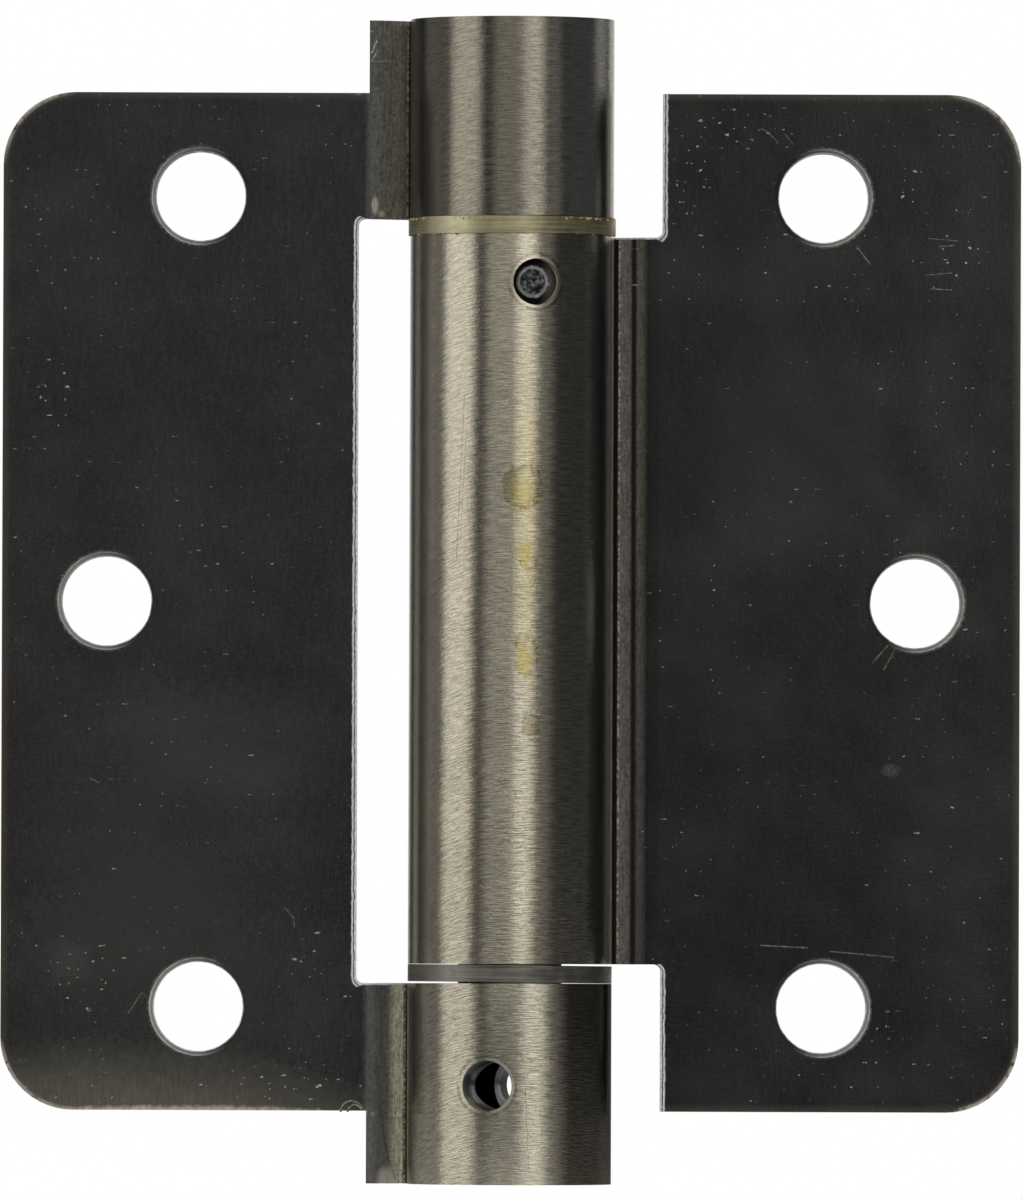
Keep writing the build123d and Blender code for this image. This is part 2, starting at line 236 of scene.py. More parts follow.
def sheet_steel(name, flat_tones, knuckle_tones, flank, out_of_round, change_at, stroke_fan, neck_reach,
                neck_tones, lip_at, notch, cross_hole, scratches_and_painted_shade, stains_and_painted_light, dusty):
    """The finish of one leaf, in mm. Pairs give the value below and the value above the height change_at.

    flat_tones and knuckle_tones go from dark to light, and the knuckle's pair above change_at is a darker
    copy, as painted shade. flank is where a knuckle's right flank starts, where it is full, both measured
    round it from the front, and its tones, which are painted light and shade. out_of_round is how far the
    knuckle's face tilts and bends. stroke_fan is how much the strokes fan out, and from where. neck_reach is
    where the neck ends, and neck_tones are its strips by their distance from the axis, painted light and
    shade over the skin. lip_at is where the row of bare crumbs is. notch is a notch's corner and the way
    that its edge faces. cross_hole is a turn in degrees, a height and a radius. A scratch is its ends, half
    width, strength and tone. A stain is its centre, radii, raggedness, whether it has dried, strength and
    tone.
    """
    material, tree = blank_material(name)
    object_place = add(tree, "TexCoord", output="Object")
    place = add(tree, "VectorMath", [object_place, to_millimetres], operation="MULTIPLY")
    x, y, z = add(tree, "SeparateXYZ", [place]).node.outputs
    facing = add(tree, "SeparateXYZ", [object_place.node.outputs["Normal"]]).node.outputs
    level = add(tree, "CombineXYZ", [x, y])
    radius = add(tree, "VectorMath", [level], "Value", operation="LENGTH")
    off_axis = add(tree, "Math", [x], operation="ABSOLUTE")
    off_middle = add(tree, "Math", [z], operation="ABSOLUTE")
    upper = add(tree, "MapRange", [z, *change_at])
    # front is 1 on the side of the sheet that the photo shows, which slopes back at the neck, else 0.
    short_of_bend = add(tree, "Math", [bend_at, off_axis], operation="SUBTRACT")
    short_of_bend = add(tree, "Math", [short_of_bend, 0.0], operation="MAXIMUM")
    behind_neck = add(tree, "Math", [short_of_bend, -neck_slope, y], operation="MULTIPLY_ADD")
    front = add(tree, "MapRange", [behind_neck, 1.6, 1.0])

    # Knuckle, neck and flat, told apart by how far they are from the axis.
    knuckle = add(tree, "MapRange", [radius, 9.1, 8.98])
    past_neck = add(tree, "Math", [off_axis, neck_reach], operation="SUBTRACT")
    flat = add(tree, "MapRange", [past_neck, -0.25, 0.25])
    rolled_or_flat = add(tree, "Math", [knuckle, flat], operation="MAXIMUM")
    neck = add(tree, "Math", [1.0, rolled_or_flat], operation="SUBTRACT")

    # Brush strokes round the knuckles: 0.11 mm wide and 1.4 mm long, and they fan out to one side.
    to_front = add(tree, "Math", [y, -1.0], operation="MULTIPLY")
    angle = add(tree, "Math", [x, to_front], operation="ARCTAN2")
    round_way = add(tree, "Math", [angle, knuckle_radius], operation="MULTIPLY")
    fan, fan_from = stroke_fan
    sideways = add(tree, "Math", [round_way, fan_from], operation="SUBTRACT")
    sideways = add(tree, "Math", [sideways, 0.8], operation="MINIMUM")
    squared = add(tree, "Math", [sideways, sideways], operation="MULTIPLY")
    sway = add(tree, "TexNoise", {"Vector": place, "Scale": 0.15, "Detail": 1.0})
    swayed = add(tree, "Math", [sway, 0.8, z], operation="MULTIPLY_ADD")
    fanned = add(tree, "Math", [squared, fan, swayed], operation="MULTIPLY_ADD")
    unrolled = add(tree, "CombineXYZ", [round_way, 0.0, fanned])
    strokes_at = add(tree, "VectorMath", [unrolled, (0.7, 1, 9.0)], operation="MULTIPLY")
    # Grain of the flats: lines 0.14 mm wide and 1.7 mm long, straight up.
    grain_at = add(tree, "VectorMath", [place, (7.0, 7.0, 0.6)], operation="MULTIPLY")
    lines_at = add(tree, "Mix", {0: knuckle, 4: grain_at, 5: strokes_at}, 1, data_type="VECTOR")
    line_noise = add(tree, "TexNoise", {"Vector": lines_at, "Scale": 1.0, "Detail": 4.0, "Roughness": 0.65})
    lines = add(tree, "MapRange", [line_noise, 0.3, 0.7])
    # Dimples that the roller and the tumbling left, 0.28 mm across.
    dimple_noise = add(tree, "TexNoise", {"Vector": place, "Scale": 3.6, "Detail": 4.0, "Roughness": 0.6})
    dimples = add(tree, "MapRange", [dimple_noise, 0.35, 0.65])
    clouds = add(tree, "TexNoise", {"Vector": place, "Scale": 0.09, "Detail": 4.0})
    torn = add(tree, "TexNoise", {"Vector": place, "Scale": 1.3, "Detail": 5.0, "Roughness": 0.6})

    # Tones of the flat, of the knuckle, and of the neck, whose strips run up and down beside the knuckle.
    # The neck's strips are painted light and shade over its skin: bright bands where it catches the light,
    # and dark lines in the crease and beside the knuckle.
    speckled = add(tree, "Mix", {0: 0.45, 2: lines, 3: dimples})
    dark_flat, light_flat = [linear(tone) for tone in flat_tones]
    flats = add(tree, "Mix", {0: speckled, 6: dark_flat, 7: light_flat}, 2, data_type="RGBA")
    hazy = add(tree, "MapRange", [clouds, 0.45, 0.8, 0.0, 0.2])
    flats = add(tree, "Mix", {0: hazy, 6: flats, 7: linear("55534F")}, 2, data_type="RGBA")
    glint = add(tree, "Mix", {0: 0.15, 2: lines, 3: dimples})
    tones = [add(tree, "Mix", {0: glint, 6: linear(dark), 7: linear(light)}, 2, data_type="RGBA")
             for dark, light in knuckle_tones]
    # The knuckle's tones above change_at are a darker copy of those below: painted shade.
    rolled = add(tree, "Mix", {0: upper, 6: tones[0], 7: tones[1]}, 2, data_type="RGBA")
    # A knuckle's right flank has tones of its own, painted light and shade, flecked by the strokes.
    flank_from, flank_to, *flank_light_and_shade_tones = flank
    aside = add(tree, "MapRange", [round_way, flank_from, flank_to])
    flank_light_and_shade_tones = [linear(tone) for tone in flank_light_and_shade_tones]
    flank_light_and_shade = add(tree, "Mix", {0: upper, 6: flank_light_and_shade_tones[0], 7: flank_light_and_shade_tones[1]}, 2, data_type="RGBA")
    flecks = add(tree, "MapRange", [glint, 0.2, 0.8, 0.7, 1.2])
    flank_light_and_shade = add(tree, "VectorMath", {0: flank_light_and_shade, "Scale": flecks}, operation="SCALE")
    rolled = add(tree, "Mix", {0: aside, 6: rolled, 7: flank_light_and_shade}, 2, data_type="RGBA")
    # Painted light and shade on the neck, in strips by the distance from the fold.
    from_fold = add(tree, "MapRange", [off_axis, knuckle_radius, knuckle_radius + neck_width])
    lit_and_shaded_strips = []
    for stops in neck_tones:
        strip = add(tree, "ValToRGB", [from_fold])
        across = strip.node.color_ramp.elements
        across[0].color = linear(stops[0][1])
        across[1].color = linear(stops[-1][1])
        for at, tone in stops:
            across.new((at - knuckle_radius) / neck_width).color = linear(tone)
        lit_and_shaded_strips.append(strip)
    skin_with_painted_light_and_shade = add(tree, "Mix", {0: upper, 6: lit_and_shaded_strips[0], 7: lit_and_shaded_strips[1]}, 2, data_type="RGBA")
    patchy = add(tree, "MapRange", [torn, 0.35, 0.65, 0.0, 0.2])
    skin_with_painted_light_and_shade = add(tree, "Mix", {0: patchy, 6: skin_with_painted_light_and_shade, 7: linear("201F1D")}, 2, data_type="RGBA")
    flecked = add(tree, "MapRange", [speckled, 0.2, 0.8, 0.55, 1.5])
    skin_with_painted_light_and_shade = add(tree, "VectorMath", {0: skin_with_painted_light_and_shade, "Scale": flecked}, operation="SCALE")
    outside = add(tree, "Mix", {0: knuckle, 6: flats, 7: rolled}, 2, data_type="RGBA")
    colour = add(tree, "Mix", {0: neck, 6: outside, 7: skin_with_painted_light_and_shade}, 2, data_type="RGBA")

    # The bore is painted dark as shade, and the knuckles' ends are sawn grey.
    upright_face = add(tree, "Math", [facing[2]], operation="ABSOLUTE")
    within = add(tree, "MapRange", [radius, 8.86, 8.8])
    bore_wall = add(tree, "MapRange", [upright_face, 0.7, 0.4])
    bore_shade = add(tree, "Math", [within, bore_wall], operation="MULTIPLY")
    colour = add(tree, "Mix", {0: bore_shade, 6: colour, 7: linear("1E1D1B")}, 2, data_type="RGBA")
    end_face = add(tree, "Math", [within, bore_shade], operation="SUBTRACT")
    sawn = add(tree, "Mix", {0: torn, 6: linear("55524C"), 7: linear("9A968A")}, 2, data_type="RGBA")
    colour = add(tree, "Mix", {0: end_face, 6: colour, 7: sawn}, 2, data_type="RGBA")

    # Oil and fine rust have crept in along the outline as a brown line that fades over 0.75 mm, and the
    # rounded corners carry a painted highlight in patches.
    past = []
    for way in (off_axis, off_middle):
        over = add(tree, "Math", [way, corner_centre], operation="SUBTRACT")
        past.append(add(tree, "Math", [over, 0.0], operation="MAXIMUM"))
    corner = add(tree, "CombineXYZ", past)
    outline = add(tree, "VectorMath", [corner], "Value", operation="LENGTH")
    off_knuckle = add(tree, "MapRange", [off_axis, 12.3, 12.6])
    crept = add(tree, "MapRange", [outline, corner_radius - 0.75, corner_radius, 0.0, 0.55])
    crept = add(tree, "Math", [crept, off_knuckle], operation="MULTIPLY")
    colour = add(tree, "Mix", {0: crept, 6: colour, 7: linear("564B40")}, 2, data_type="RGBA")
    both_past = add(tree, "Math", past, operation="MINIMUM")
    rounded = add(tree, "MapRange", [both_past, 0.0, 2.0])
    at_rim = add(tree, "MapRange", [outline, corner_radius - 0.4, corner_radius - 0.1])
    patches = add(tree, "MapRange", [torn, 0.4, 0.6])
    corner_highlight_patches = add(tree, "MapRange", [torn, 0.34, 0.5])
    corner_highlight = add(tree, "Math", [at_rim, rounded], operation="MULTIPLY")
    corner_highlight = add(tree, "Math", [corner_highlight, corner_highlight_patches], operation="MULTIPLY")
    colour = add(tree, "Mix", {0: corner_highlight, 6: colour, 7: linear("A8A296")}, 2, data_type="RGBA")

    # A painted highlight of the notch's lit wall lies on the face beside its edge: half a millimetre wide,
    # with one dark hairline in it. The notch's corner is rounded to 0.6 mm.
    notch_x, notch_z, notch_way = notch
    notch_rounding = 0.6
    across_notch = add(tree, "Math", [off_axis, notch_x - notch_rounding], operation="SUBTRACT")
    notch_shift = notch_rounding - notch_way * notch_z
    up_notch = add(tree, "Math", [off_middle, notch_way, notch_shift], operation="MULTIPLY_ADD")
    across_notch = add(tree, "Math", [across_notch, 0.0], operation="MAXIMUM")
    up_notch = add(tree, "Math", [up_notch, 0.0], operation="MAXIMUM")
    notch_at = add(tree, "CombineXYZ", [across_notch, up_notch])
    from_notch = add(tree, "VectorMath", [notch_at], "Value", operation="LENGTH")
    from_notch = add(tree, "Math", [torn, 0.3, from_notch], operation="MULTIPLY_ADD")
    over = add(tree, "Math", [from_notch, notch_rounding + 0.15], operation="SUBTRACT")
    upright_side = add(tree, "MapRange", [across_notch, 0.0, notch_rounding, 0.08, 0.45])
    width_left = add(tree, "Math", [upright_side, over], operation="SUBTRACT")
    notch_highlight = add(tree, "MapRange", [width_left, -0.02, 0.06])
    near_notch = add(tree, "MapRange", [off_axis, notch_x + 1.5, notch_x + 1.2])
    notch_highlight = add(tree, "Math", [notch_highlight, near_notch], operation="MULTIPLY")
    not_knuckle = add(tree, "MapRange", [off_axis, knuckle_radius, knuckle_radius + 0.2])
    notch_highlight = add(tree, "Math", [notch_highlight, not_knuckle], operation="MULTIPLY")
    hairline = add(tree, "Math", [over, 0.22], operation="SUBTRACT")
    hairline = add(tree, "Math", [hairline], operation="ABSOLUTE")
    hairline = add(tree, "MapRange", [hairline, 0.03, 0.07])
    notch_highlight_tone = add(tree, "MapRange", [dimples, 0.0, 1.0, 0.6, 1.0])
    notch_highlight_tone = add(tree, "Math", [notch_highlight_tone, hairline], operation="MULTIPLY")
    notch_highlight_tone = add(tree, "Mix", {0: notch_highlight_tone, 6: linear("3A3936"), 7: linear("E2E2E2")}, 2, data_type="RGBA")
    colour = add(tree, "Mix", {0: notch_highlight, 6: colour, 7: notch_highlight_tone}, 2, data_type="RGBA")

    # Bare crumbs where the rolled lip rubs the neck, in a row beside the knuckle.
    row = add(tree, "Math", [off_axis, lip_at], operation="SUBTRACT")
    row = add(tree, "Math", [row], operation="ABSOLUTE")
    row = add(tree, "MapRange", [row, 0.12, 0.03, 0.0, 0.8])
    crumb_noise = add(tree, "TexNoise", {"Vector": place, "Scale": 3.2, "Detail": 2.0})
    crumbs = add(tree, "MapRange", [crumb_noise, 0.48, 0.6])
    rubbed_and_lit = add(tree, "Math", [row, crumbs], operation="MULTIPLY")

    # The hole across a knuckle has a thin burr ring round it, painted bright as a highlight that is brighter
    # on the right, and grime outside that.
    hole_turn, hole_height, hole_radius = cross_hole
    hole_middle = (radians(hole_turn) * knuckle_radius, 0, hole_height)
    off_hole = add(tree, "VectorMath", [add(tree, "CombineXYZ", [round_way, 0.0, z]), hole_middle],
                   operation="SUBTRACT")
    from_pin = add(tree, "VectorMath", [off_hole], "Value", operation="LENGTH")
    to_right = add(tree, "SeparateXYZ", [off_hole])
    to_right = add(tree, "MapRange", [to_right, -1.5, 2.0, 0.15, 0.9])
    from_rim = add(tree, "Math", [from_pin, hole_radius + 0.15], operation="SUBTRACT")
    from_rim = add(tree, "Math", [from_rim], operation="ABSOLUTE")
    hole_ring_highlight = add(tree, "MapRange", [from_rim, 0.17, 0.05])
    hole_ring_highlight = add(tree, "Math", [hole_ring_highlight, to_right], operation="MULTIPLY")
    hole_ring_highlight = add(tree, "Math", [hole_ring_highlight, front], operation="MULTIPLY")
    colour = add(tree, "Mix", {0: hole_ring_highlight, 6: colour, 7: linear("E6DEC6")}, 2, data_type="RGBA")
    grimy = add(tree, "Math", [from_pin, hole_radius + 0.42], operation="SUBTRACT")
    grimy = add(tree, "Math", [grimy], operation="ABSOLUTE")
    grimy = add(tree, "MapRange", [grimy, 0.2, 0.05, 0.0, 0.5])
    grimy = add(tree, "Math", [grimy, patches], operation="MULTIPLY")
    grimy = add(tree, "Math", [grimy, front], operation="MULTIPLY")
    colour = add(tree, "Mix", {0: grimy, 6: colour, 7: linear("38352C")}, 2, data_type="RGBA")

    # Dust: specks up to 0.2 mm across, thicker in some places than in others. Each is torn out of round,
    # some into short fibres.
    fibre = add(tree, "MapRange", [torn, 0.3, 0.7, -0.35, 0.35])
    specks_at = add(tree, "CombineXYZ", [add(tree, "Math", [x, fibre]), z])
    cells = add(tree, "TexVoronoi", {"Vector": specks_at, "Scale": 0.9}, voronoi_dimensions="2D")
    size = add(tree, "MapRange", [cells.node.outputs["Color"], 0.5, 1.0, 0.0, 0.09])
    dusted = 0.0
    for centre, radii in dusty:
        patch = stain(tree, place, torn, centre, radii, 0.9, False)
        dusted = add(tree, "Math", [patch, dusted], operation="MAXIMUM")
    size = add(tree, "Math", [dusted, 0.05, size], operation="MULTIPLY_ADD")
    speck = add(tree, "Math", [size, cells], operation="SUBTRACT")
    speck = add(tree, "MapRange", [speck, -0.01, 0.03, 0.0, 0.55])
    # It lies thick in patches of the flats and thin on the knuckles.
    thick = add(tree, "MapRange", [clouds, 0.42, 0.62, 0.15, 1.0])
    thin = add(tree, "MapRange", [knuckle, 0.0, 1.0, 1.0, 0.35])
    thick = add(tree, "Math", [thick, thin], operation="MULTIPLY")
    thick = add(tree, "Math", [thick, dusted], operation="MAXIMUM")
    speck = add(tree, "Math", [speck, thick], operation="MULTIPLY")
    marked = add(tree, "Math", [speck, rubbed_and_lit], operation="MAXIMUM")
    # A stain is a film, so the strokes and the dimples show through it.
    seen_through = add(tree, "MapRange", [glint, 0.2, 0.8, 1.0, 0.55])
    for centre, radii, ragged, dried, amount, tint in stains_and_painted_light:
        spread = stain(tree, place, torn, centre, radii, ragged, dried)
        spread = add(tree, "Math", [spread, front], operation="MULTIPLY")
        spread = add(tree, "Math", [spread, seen_through], operation="MULTIPLY")
        spread = add(tree, "Math", [spread, amount], operation="MULTIPLY")
        colour = add(tree, "Mix", {0: spread, 6: colour, 7: linear(tint)}, 2, data_type="RGBA")
    broken = add(tree, "MapRange", [crumb_noise, 0.4, 0.6, 0.3, 1.0])
    for start, end, half_width, amount, tint in scratches_and_painted_shade:
        cut = scratch(tree, place, start, end, half_width)
        cut = add(tree, "Math", [cut, broken], operation="MULTIPLY")
        cut = add(tree, "Math", [cut, front], operation="MULTIPLY")
        cut = add(tree, "Math", [cut, amount], operation="MULTIPLY")
        colour = add(tree, "Mix", {0: cut, 6: colour, 7: linear(tint)}, 2, data_type="RGBA")
    marked = add(tree, "Math", [marked, front], operation="MULTIPLY")
    colour = add(tree, "Mix", {0: marked, 6: colour, 7: linear(bright_steel)}, 2, data_type="RGBA")

    # Sheared and pierced walls are bare and torn, and painted near white: partly bare steel, partly painted
    # light. A screw hole's rim is painted grey on its outer half as painted light and dark on its inner half
    # as painted shade, the face just round its outer half is painted grey as painted light too, and painted
    # highlight lines run at its lip and near its chamfer's edge. The hole is 3.9 mm in radius, and the
    # chamfer ends at 4.3 mm.
    side_face = add(tree, "Math", [facing[1]], operation="ABSOLUTE")
    side_face = add(tree, "MapRange", [side_face, 0.96, 0.85])
    wall = add(tree, "Math", [side_face, off_knuckle], operation="MULTIPLY")
    half = add(tree, "CombineXYZ", [off_axis, 0.0, off_middle])
    by_end = add(tree, "Math", [off_middle, between_holes], operation="GREATER_THAN")
    hole_at = add(tree, "Mix", {0: by_end, 4: middle_hole, 5: end_hole}, 1, data_type="VECTOR")
    from_hole = add(tree, "VectorMath", [half, hole_at], "Value", operation="DISTANCE")
    hole_x = add(tree, "SeparateXYZ", [hole_at])
    outward = add(tree, "Math", [off_axis, hole_x], operation="SUBTRACT")
    outward = add(tree, "MapRange", [outward, -2.5, 3.0])
    wall_light_and_shade = add(tree, "Mix", {0: outward, 6: linear("2C2B2A"), 7: linear("94938F")}, 2, data_type="RGBA")
    outer_rim_light = add(tree, "MapRange", [from_hole, 4.52, 4.38, 0.0, 0.6])
    outer_rim_light = add(tree, "Math", [outer_rim_light, outward], operation="MULTIPLY")
    outer_rim_light = add(tree, "Math", [outer_rim_light, dimples], operation="MULTIPLY")
    outer_rim_light = add(tree, "Math", [outer_rim_light, front], operation="MULTIPLY")
    colour = add(tree, "Mix", {0: outer_rim_light, 6: colour, 7: linear("8E8C86")}, 2, data_type="RGBA")
    lip_highlight = add(tree, "MapRange", [from_hole, 4.0, 3.95])
    far_highlight_line = add(tree, "MapRange", [from_hole, 4.14, 4.24])
    far_highlight_line = add(tree, "Math", [far_highlight_line, outward], operation="MULTIPLY")
    lip_highlight = add(tree, "Math", [lip_highlight, far_highlight_line], operation="MAXIMUM")
    uneven = add(tree, "MapRange", [torn, 0.35, 0.6, 0.25, 1.0])
    lip_highlight = add(tree, "Math", [lip_highlight, uneven], operation="MULTIPLY")
    rim = add(tree, "Mix", {0: lip_highlight, 6: wall_light_and_shade, 7: linear("DAD8D2")}, 2, data_type="RGBA")
    at_hole = add(tree, "MapRange", [from_hole, 4.7, 4.6])
    bare = add(tree, "Mix", {0: at_hole, 6: linear("E8E6E0"), 7: rim}, 2, data_type="RGBA")
    colour = add(tree, "Mix", {0: wall, 6: colour, 7: bare}, 2, data_type="RGBA")

    # Bare or skinned steel is dull, brushed and rolled steel is bright. The flats' black is a film of
    # oxide, a little over half as much a metal as what is under it.
    skinned = add(tree, "Math", [neck, wall], operation="MAXIMUM")
    brightened = add(tree, "Math", [notch_highlight, corner_highlight], operation="MAXIMUM")
    brightened = add(tree, "Math", [brightened, marked], operation="MAXIMUM")
    dull_share = add(tree, "Math", [skinned, brightened], operation="MAXIMUM")
    dull_share = add(tree, "Math", [dull_share, within], operation="MAXIMUM")
    smooth = add(tree, "MapRange", [lines, 0.0, 1.0, 0.15, 0.24])
    dull = add(tree, "MapRange", [dimples, 0.0, 1.0, 0.45, 0.6])
    roughness = add(tree, "Mix", {0: dull_share, 2: smooth, 3: dull})
    metal = add(tree, "MapRange", [knuckle, 0.0, 1.0, 0.6, 1.0])
    metal = add(tree, "Mix", {0: dull_share, 2: metal, 3: 0.25})

    # Relief in millimetres: strokes, dimples, the slow waves of rolling, and knuckles out of round.
    stroke_relief = add(tree, "MapRange", [knuckle, 0.0, 1.0, 0.001, 0.005])
    relief = add(tree, "Math", [lines, stroke_relief], operation="MULTIPLY")
    dimple_relief = add(tree, "MapRange", [neck, 0.0, 1.0, 0.0025, 0.006])
    relief = add(tree, "Math", [dimples, dimple_relief, relief], operation="MULTIPLY_ADD")
    waves = add(tree, "TexNoise", {"Vector": place, "Scale": 0.16, "Detail": 1.0})
    relief = add(tree, "Math", [waves, 0.06, relief], operation="MULTIPLY_ADD")
    (slope_below, bend_below), (slope_above, bend_above) = out_of_round
    slope = add(tree, "Mix", {0: upper, 2: slope_below, 3: slope_above})
    bend = add(tree, "Mix", {0: upper, 2: bend_below, 3: bend_above})
    slope = add(tree, "Math", [round_way, bend, slope], operation="MULTIPLY_ADD")
    slope = add(tree, "Math", [slope, knuckle], operation="MULTIPLY")
    relief = add(tree, "Math", [round_way, slope, relief], operation="MULTIPLY_ADD")
    bump = add(tree, "Bump", {"Strength": 1.0, "Distance": millimetre, "Height": relief})
    # The gloss of the knuckles spreads up and down, across their strokes.
    upwards = add(tree, "CombineXYZ", [0.0, 0.0, 1.0])
    across = add(tree, "VectorTransform", [upwards], vector_type="VECTOR", convert_from="OBJECT",
                 convert_to="WORLD")
    shader = add(tree, "BsdfPrincipled", {"Base Color": colour, "Metallic": metal, "Roughness": roughness,
                                          "Anisotropic": 0.5, "Tangent": across, "Normal": bump})
    add(tree, "OutputMaterial", [shader])
    return material


def finished(node, material):
    """A CAD node keeps its shape and takes the material."""
    for slot in nodes[node].material_slots:
        slot.material = material


finished("two_knuckle_leaf", sheet_steel(
    "cold_rolled_steel_with_end_knuckles",
    flat_tones=("131313", "333332"), knuckle_tones=(("807A6D", "E3DAC2"), ("57534B", "A39B8A")),
    flank=(3.3, 5.6, "6E695D", "D2CCBE"), out_of_round=((0.071, 0.0071), (0.075, 0.0)),
    change_at=(-5, 5), stroke_fan=(0.02, 0.5), neck_reach=12.4,
    neck_tones=(((9.0, "3A3832"), (9.2, "6A675C"), (9.35, "D2CEBA"), (10.1, "AAA68E"), (10.6, "5E5B53"),
                 (11.2, "4A4946"), (12.4, "525150")),
                ((9.0, "2E2D28"), (9.15, "75726A"), (9.6, "7F7B6E"), (10.8, "6A675C"), (12.4, "54524B"))),
    lip_at=9.15, notch=(13.4, 33.4, 1), cross_hole=(-13.0, -42.2, 2.2),
    scratches_and_painted_shade=[((-33.3, -36.0), (-32.1, -34.2), 0.07, 0.25, bright_steel),
               ((-32.1, -34.2), (-31.4, -34.9), 0.06, 0.2, bright_steel),
               ((-36.7, -15.5), (-35.9, -15.9), 0.06, 0.4, bright_steel),
               ((-12.3, 48.0), (-11.9, 49.0), 0.08, 0.8, bright_steel),
               ((-12.3, 47.3), (-11.8, 48.2), 0.07, 0.7, bright_steel),
               ((-12.3, 47.2), (-10.2, 47.3), 0.05, 0.35, bright_steel),
               # Painted shadow: a dark line in the gap between the tab's curled end and the plate, curving
               # right at the bottom.
               ((-10.95, -46.5), (-10.6, -48.6), 0.07, 0.9, "141312"),
               ((-10.6, -48.6), (-9.9, -50.4), 0.08, 0.9, "141312"),
               ((-9.7, -36.0), (-9.95, -35.0), 0.12, 0.8, "C8C48E"),
               ((-10.1, -36.4), (-9.9, -35.8), 0.09, 0.7, "C8C48E"),
               ((-9.75, -33.6), (-9.6, -34.6), 0.08, 0.6, "C8C48E"),
               ((1.4, -42.4), (1.7, -49.5), 0.05, 0.6, "3E3A33"),
               ((-19.6, -26.8), (-18.9, -27.6), 0.05, 0.3, bright_steel),
               ((-18.9, -27.6), (-18.8, -28.4), 0.05, 0.3, bright_steel)],
    stains_and_painted_light=[((-34, -48.0), (26, 10.0), 0.35, False, 0.55, "837D6D"),
            ((-29, -44.8), (17, 0.85), 0.9, False, 0.9, "E0D8C6"),
            ((-38.5, -31.5), (2.4, 2.2), 0.8, False, 0.12, "77756E"),
            ((-12.0, 34.6), (0.35, 0.9), 0.5, False, 0.9, "B8B4A4"),
            ((-11.4, 33.9), (0.4, 0.35), 0.5, False, 0.8, "B0A88C"),
            # Painted highlight: a pale spot for the lit end face at the bottom of the tab.
            ((-10.6, -50.6), (1.1, 1.5), 0.4, False, 0.9, "B4B1A6"),
            ((-24, -12), (12, 6), 0.8, False, 0.1, "6A6864"),
            ((-30, -33), (16, 13), 0.6, False, 0.1, "6E6B63"),
            ((-32, -20), (14, 18), 0.8, False, 0.1, "6A6864"),
            ((-0.9, -42.5), (2.3, 9.5), 0.8, False, 0.5, "57534A")],
    dusty=[((-37, -33), (3.5, 5)), ((-20, -42), (9, 2.2)), ((-17.5, -31), (2, 3)), ((-40, 18), (2, 5))]))

# A curl of steel that the punch left hanging on the lower edge of the flat, near the tab: two arcs of a
# strip 0.2 mm wide and 0.16 mm deep, each spun round the curl's middle at its own radius.
curl_centre = Vector((-13.75, 0.82, -44.55)) * millimetre
curl_mesh = bpy.data.meshes.new("edge_curl")
curl = bmesh.new()
for arc_radius, depth, shift in ((0.95, 0.0, 0.0), (0.62, 0.12, 0.28)):
    section = bmesh.ops.create_grid(curl, x_segments=1, y_segments=1, size=0.5 * millimetre)["verts"]
    bmesh.ops.scale(curl, verts=section, vec=(0.2, 0.16, 1))
    start = curl_centre + Vector((shift - arc_radius, -depth, 0)) * millimetre
    bmesh.ops.translate(curl, verts=section, vec=start)
    faces = list({face for vert in section for face in vert.link_faces})
    edges = list({edge for vert in section for edge in vert.link_edges})
    bmesh.ops.delete(curl, geom=faces, context="FACES_ONLY")
    bmesh.ops.spin(curl, geom=section + edges, cent=curl_centre + Vector((shift * millimetre, 0, 0)),
                   axis=(0, 1, 0), angle=radians(165), steps=14)
bmesh.ops.holes_fill(curl, edges=curl.edges, sides=4)
bmesh.ops.recalc_face_normals(curl, faces=curl.faces)
for face in curl.faces:
    face.smooth = True
curl.to_mesh(curl_mesh)
curl.free()
edge_curl = bpy.data.objects.new("edge_curl", curl_mesh)
bpy.context.scene.collection.objects.link(edge_curl)
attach(edge_curl, "knuckle_leaf")

# Torn steel: bright where it was sheared, dark in its tears.
torn_steel, tree = blank_material("sheared_steel_burr")
place = add(tree, "TexCoord", output="Object")
# Tears 0.15 mm across.
tears = add(tree, "TexNoise", {"Vector": place, "Scale": 1 / (0.15 * millimetre), "Detail": 3.0})
tears = add(tree, "MapRange", [tears, 0.35, 0.65])
tone = add(tree, "Mix", {0: tears, 6: linear("2E2C28"), 7: linear("B0ACA0")}, 2, data_type="RGBA")
rough = add(tree, "MapRange", [tears, 0.0, 1.0, 0.3, 0.5])
bump = add(tree, "Bump", {"Strength": 0.5, "Distance": 0.02 * millimetre, "Height": tears})
add(tree, "OutputMaterial", [add(tree, "BsdfPrincipled", {"Base Color": tone, "Metallic": 0.7,
                                                          "Roughness": rough, "Normal": bump})])
curl_mesh.materials.append(torn_steel)


